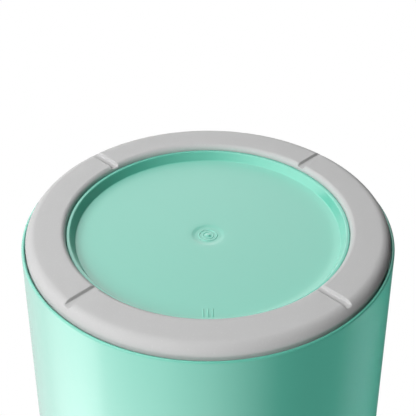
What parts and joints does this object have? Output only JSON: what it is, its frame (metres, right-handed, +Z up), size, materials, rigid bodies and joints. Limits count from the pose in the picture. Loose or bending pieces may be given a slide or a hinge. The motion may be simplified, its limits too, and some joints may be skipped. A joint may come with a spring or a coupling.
{
  "type": "disinfectant jar",
  "caption": "Round moulded jar on a soft non-slip foot ring, with a plug lid, gasket and a perforated tool tray on a lift rod with a knob.",
  "frame": {"origin": "centre of the foot ring's lower face, on the surface that the jar stands on", "axes": "+Z up along the axis of the jar; X and Y lie along the surface, at 45 degrees to the grooves of the foot ring"},
  "size_m": [0.1226, 0.1226, 0.2446],
  "materials": {
    "mint_plastic": "smooth satin-gloss moulded plastic, mint green",
    "liner_plastic": "plain off-white moulded plastic",
    "bush_plastic": "grey bearing plastic",
    "foot_rubber": "matt light-grey soft elastomer",
    "gasket_rubber": "grey silicone",
    "stainless_steel": "brushed stainless steel",
    "brass": "turned brass"
  },
  "bodies": {
    "jar": {"jar_body": "mint_plastic", "foot_ring": "foot_rubber"},
    "lid": {"lid_cap": "mint_plastic", "lid_plug": "liner_plastic", "lid_gasket": "gasket_rubber", "guide_bush": "bush_plastic", "bush_clip": "stainless_steel", "rod_wiper": "gasket_rubber"},
    "basket": {"lift_rod": "stainless_steel", "knob_core": "mint_plastic", "knob_grip": "foot_rubber", "knob_insert": "brass", "lift_bumper": "gasket_rubber", "upper_washer": "stainless_steel", "lower_washer": "stainless_steel", "tray_nut": "stainless_steel", "basket_tray": "stainless_steel", "tray_foot_1": "gasket_rubber", "tray_foot_2": "gasket_rubber", "tray_foot_3": "gasket_rubber"}
  },
  "joints": [
    {"name": "lid_lift", "type": "slide", "parent": "jar", "child": "lid", "axis": [0, 0, 1], "range_m": [0, 0.21]},
    {"name": "basket_lift", "type": "slide", "parent": "lid", "child": "basket", "axis": [0, 0, 1], "range_m": [0, 0.18]}
  ]
}
